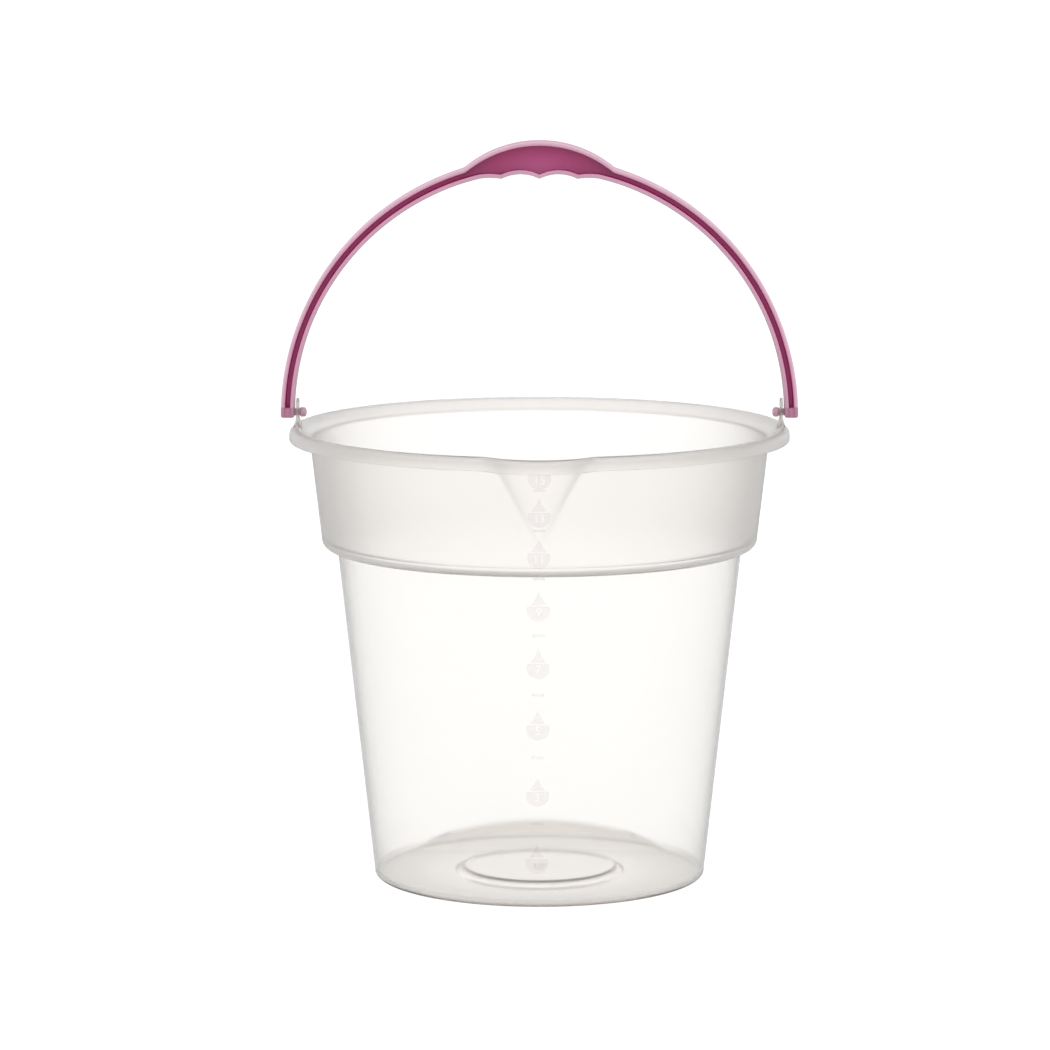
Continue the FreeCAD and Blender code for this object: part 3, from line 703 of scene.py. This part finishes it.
def handle_stations():
    """Angles along the bow from foot to foot."""
    low = atan2(FOOT_LOW - BOW_HEIGHT, BOW_INNER)
    foot = atan2(FOOT_HIGH - BOW_HEIGHT, BOW_RADIUS)
    grip_from = pi / 2 - GRIP_ANGLE
    half = [low + (foot - low) * share for share in FOOT_SHARES]
    half += [foot + FOOT_GAP + (grip_from - foot) * i / BOW_COUNT for i in range(BOW_COUNT)]
    half += [grip_from + GRIP_ANGLE * i / GRIP_COUNT for i in range(1, GRIP_COUNT)]
    return half + [pi / 2] + [pi - angle for angle in reversed(half)]


def bow_tint(a, b, width, half_depth, grip, x, solid):
    """Deep in the web, mid on the flanges' broad faces, and paler along their edges with painted glow,
    for light piped along the plastic.
    """
    edge = min(a, width - a)
    if abs(b) < (FACE_SHARE + 0.05) * half_depth and edge < 0.1:
        return FACE_TINT
    # painted glow: the feet and the flanges grow paler towards their edges, for light piped along the
    # plastic
    if solid:
        return mixed(FOOT_EDGE_GLOW_TINT, FOOT_TINT, edge / FOOT_FADE)
    if a < FLANGE - FLANGE_FADE:
        return mixed(INNER_RIM_GLOW_TINT, INNER_NEAR_TINT, a / (FLANGE - 1))
    if a > width - FLANGE + FLANGE_FADE:
        return mixed(OUTER_RIM_GLOW_TINT, OUTER_NEAR_TINT, (width - a) / (FLANGE - 1))
    low = mixed(GRIP_MIDDLE_TINT, GRIP_LOW_TINT, abs(x) / GRIP_FADE)
    deep = mixed(low, GRIP_TOP_TINT, (a - FLANGE) / max(width - 2 * FLANGE, 1))
    return mixed(WEB_TINT, deep, grip)


def end_inset(turn):
    """How far a foot's end is rounded in, at an angle along the bow from that end."""
    lack = max(0.0, END_ROUND - turn * BOW_RADIUS)
    return END_ROUND - sqrt(END_ROUND ** 2 - lack ** 2)


def make_bow():
    """Loft the handle's section from foot to foot, round the bow and through the grip."""
    stations = handle_stations()
    foot = atan2(FOOT_HIGH - BOW_HEIGHT, BOW_RADIUS)
    vertices, tints_and_glow = [], []
    for angle in stations:
        from_end = min(angle, pi - angle)
        solid = from_end <= foot + 1e-6
        inner, outer = bow_limits(angle)
        width = outer - inner
        grip = grip_share(angle)
        half_depth = BOW_DEPTH / 2 + grip * (GRIP_DEPTH - BOW_DEPTH) / 2
        web_half = half_depth - SOLID_GAP if solid else WEB / 2
        inset = end_inset(from_end - stations[0])
        for a, b in bow_section(width, half_depth, web_half):
            reach = inner + inset + a * (width - 2 * inset) / width
            x = reach * cos(angle)
            y = b * (half_depth - inset) / half_depth
            vertices.append((x, y, BOW_HEIGHT + reach * sin(angle)))
            tints_and_glow.append(bow_tint(a, b, width, half_depth, grip, x, solid))
    faces = tube_faces(len(vertices), len(vertices) // len(stations))
    bow = new_object("bail_bow", vertices, faces)
    paint(bow, tints_and_glow)
    return bow


def tube_faces(total, count):
    """Faces of a closed tube of equal rings, each with this many vertices, and of its two ends."""
    faces = []
    for first in range(0, total - count, count):
        for j in range(count):
            k = (j + 1) % count
            faces.append((first + j, first + k, first + count + k, first + count + j))
    return faces + [tuple(range(count)), tuple(range(total - count, total))]


def lathe(name, outline, axis_point, count=48):
    """Turn an outline of (distance along X, radius) points about an axis along X."""
    turns = [2 * pi * j / count for j in range(count)]
    vertices = []
    for along, radius in outline:
        for turn in turns:
            y = axis_point[0] + radius * cos(turn)
            vertices.append((along, y, axis_point[1] + radius * sin(turn)))
    return new_object(name, vertices, tube_faces(len(vertices), count))


def make_pin(name, side):
    """A hinge pin with its rounded snap knob, on one side of the handle."""
    outline = [(KNOB_INNER + along, radius) for along, radius in KNOB_NOSE]
    outline += [(KNOB_OUTER - 0.5, KNOB_RADIUS), (KNOB_OUTER, KNOB_RADIUS - 0.4)]
    outline += [(KNOB_OUTER, PIN_RADIUS + PIN_FILLET), (KNOB_OUTER + PIN_FILLET, PIN_RADIUS)]
    outline += [(BOW_INNER + PIN_SUNK, PIN_RADIUS)]
    pin = lathe(name, [(side * along, radius) for along, radius in outline], (0.0, PIVOT_HEIGHT))
    paint(pin, [PIN_TINT] * len(pin.data.vertices))
    return pin


# ---------------------------------------------------------------- materials
def principled(name):
    """A new material with its node tree and its Principled shader."""
    material = bpy.data.materials.new(name)
    material.use_nodes = True
    tree = material.node_tree
    shader = tree.nodes["Principled BSDF"]
    return material, tree, shader


def set_inputs(shader, **values):
    """Set the shader's own sockets, named with underscores for spaces."""
    for name, value in values.items():
        shader.inputs[name.replace("_", " ")].default_value = value


def dimmer(tree, bright, dim):
    """A strength that is lower for light that has been reflected by something glossy."""
    path = tree.nodes.new("ShaderNodeLightPath")
    step = tree.nodes.new("ShaderNodeMapRange")
    step.inputs["To Min"].default_value = bright
    step.inputs["To Max"].default_value = dim
    tree.links.new(path.outputs["Glossy Depth"], step.inputs["Value"])
    return step.outputs["Result"]


def noise(tree, scale, detail, stretch):
    """Noise over the object's own space, stretched along Z."""
    place = tree.nodes.new("ShaderNodeTexCoord")
    mapping = tree.nodes.new("ShaderNodeMapping")
    mapping.inputs["Scale"].default_value = (1, 1, 1 / stretch)
    texture = tree.nodes.new("ShaderNodeTexNoise")
    texture.inputs["Scale"].default_value = scale
    texture.inputs["Detail"].default_value = detail
    tree.links.new(place.outputs["Object"], mapping.inputs["Vector"])
    tree.links.new(mapping.outputs["Vector"], texture.inputs["Vector"])
    return texture.outputs["Fac"]


def bump(tree, shader, height, strength, distance):
    """Raise the surface a little by a height."""
    node = tree.nodes.new("ShaderNodeBump")
    node.inputs["Strength"].default_value = strength
    node.inputs["Distance"].default_value = distance
    tree.links.new(height, node.inputs["Height"])
    tree.links.new(node.outputs[0], shader.inputs["Normal"])


def varied_tint(tree, shader, variation, low, high):
    """The painted tint, which holds the painted shade and glow too, made a little lighter and darker by
    a variation.
    """
    tint_and_painted_light = tree.nodes.new("ShaderNodeAttribute")
    tint_and_painted_light.attribute_name = "tint_and_painted_light"
    level = tree.nodes.new("ShaderNodeMapRange")
    level.inputs["From Min"].default_value = NOISE_LOW
    level.inputs["From Max"].default_value = NOISE_HIGH
    level.inputs["To Min"].default_value = low
    level.inputs["To Max"].default_value = high
    shaded = tree.nodes.new("ShaderNodeVectorMath")
    shaded.operation = "SCALE"
    tree.links.new(variation, level.inputs["Value"])
    tree.links.new(tint_and_painted_light.outputs["Color"], shaded.inputs[0])
    tree.links.new(level.outputs["Result"], shaded.inputs["Scale"])
    tree.links.new(shaded.outputs[0], shader.inputs["Base Color"])


def add_absorption(tree, color, density):
    """Let the solid take up light inside."""
    absorb = tree.nodes.new("ShaderNodeVolumeAbsorption")
    absorb.inputs["Color"].default_value = (*color, 1)
    absorb.inputs["Density"].default_value = density
    tree.links.new(absorb.outputs[0], tree.nodes["Material Output"].inputs["Volume"])


def clear_plastic():
    """Natural polypropylene, as smooth or satin as each place of the tub is marked."""
    material, tree, shader = principled("natural_polypropylene")
    set_inputs(shader, Transmission_Weight=0.96, IOR=1.45)
    varied_tint(tree, shader, noise(tree, scale=9, detail=2, stretch=4), low=0.992, high=1.0)
    bump(tree, shader, noise(tree, scale=350, detail=3, stretch=5), strength=0.12, distance=0.00002)
    satin = tree.nodes.new("ShaderNodeAttribute")
    satin.attribute_name = "roughness"
    tree.links.new(satin.outputs["Fac"], shader.inputs["Roughness"])
    add_absorption(tree, color=(0.45, 0.20, 0.0), density=9.0)
    return material


def mark_plastic():
    """The raised scale: the same plastic, a faint pinkish grey as painted shade for the light its
    relief bends aside, and a little more opaque by its rough faces.
    """
    material, _, shader = principled("scale_polypropylene")
    # painted shade: the pinkish grey base colour stands in for the light that the raised marks bend
    # aside
    set_inputs(shader, Base_Color=(0.80, 0.68, 0.71, 1), Roughness=0.5, Alpha=0.11)
    return material


def magenta_plastic():
    """Magenta polypropylene, pale with painted glow towards the flanges' edges and deep in the web."""
    material, tree, shader = principled("magenta_polypropylene")
    varied_tint(tree, shader, noise(tree, scale=60, detail=3, stretch=1), low=0.96, high=1.04)
    bump(tree, shader, noise(tree, scale=900, detail=3, stretch=1), strength=0.25, distance=0.00003)
    set_inputs(shader, Roughness=0.3)
    return material


# ---------------------------------------------------------------- build
tub = make_tub()
unite(tub, [*make_ear("ear_right", 1), *make_ear("ear_left", -1)])
places = [tuple(vertex.co / MM) for vertex in tub.data.vertices]
paint(tub, [tub_tint(*place) for place in places])
roughen(tub, [tub_roughness(*place) for place in places])
tub.data.materials.clear()
tub.data.materials.append(clear_plastic())
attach(tub, "tub")
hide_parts("tub")

scale_marks = make_scale()
scale_marks.data.materials.append(mark_plastic())
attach(scale_marks, "tub")

bow = make_bow()
magenta = magenta_plastic()
bow.data.materials.append(magenta)
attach(bow, "bail")
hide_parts("bail_handle")
for pin_name, pin_side in (("pin_right", 1), ("pin_left", -1)):
    pin = make_pin(pin_name, pin_side)
    pin.data.materials.append(magenta)
    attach(pin, "bail")

# ---------------------------------------------------------------- stage, light and camera
# a paper floor just below the tub, and a white world, both dimmer in reflections than straight on
FLOOR_HALF, FLOOR_GAP = 6000.0, 0.4
floor_mesh = bpy.data.meshes.new("floor")
corners = [(x * FLOOR_HALF * MM, y * FLOOR_HALF * MM, -FLOOR_GAP * MM)
           for x, y in ((-1, -1), (1, -1), (1, 1), (-1, 1))]
floor_mesh.from_pydata(corners, [], [(0, 1, 2, 3)])
floor = bpy.data.objects.new("floor", floor_mesh)
bpy.context.scene.collection.objects.link(floor)
paper, paper_tree, paper_shader = principled("white_paper")
set_inputs(paper_shader, Base_Color=(0.1, 0.1, 0.1, 1), Roughness=0.9, Emission_Color=(1, 1, 1, 1))
paper_tree.links.new(dimmer(paper_tree, bright=1.0, dim=0.62), paper_shader.inputs["Emission Strength"])
floor.data.materials.append(paper)

world = bpy.data.worlds.new("soft_white")
bpy.context.scene.world = world
world.use_nodes = True
background = world.node_tree.nodes["Background"]
background.inputs["Color"].default_value = (1, 1, 1, 1)
glow = dimmer(world.node_tree, bright=1.1, dim=0.93)
world.node_tree.links.new(glow, background.inputs["Strength"])

# the camera stands in front of the spout and looks a little down
CAMERA_DISTANCE, CAMERA_HEIGHT, CAMERA_DIP = 3354.0, 735.5, radians(8.34)
SENSOR_WIDTH, LENS, SHIFT, CLIP_END = 36, 168.6, -0.0138, 50
camera_data = bpy.data.cameras.new("camera")
camera = bpy.data.objects.new("camera", camera_data)
bpy.context.scene.collection.objects.link(camera)
camera.location = (0, -CAMERA_DISTANCE * MM, CAMERA_HEIGHT * MM)
camera.rotation_euler = (pi / 2 - CAMERA_DIP, 0, 0)
camera_data.sensor_width = SENSOR_WIDTH
camera_data.lens = LENS
camera_data.shift_x = SHIFT
camera_data.clip_end = CLIP_END
bpy.context.scene.camera = camera
bpy.context.scene.view_settings.view_transform = "Standard"
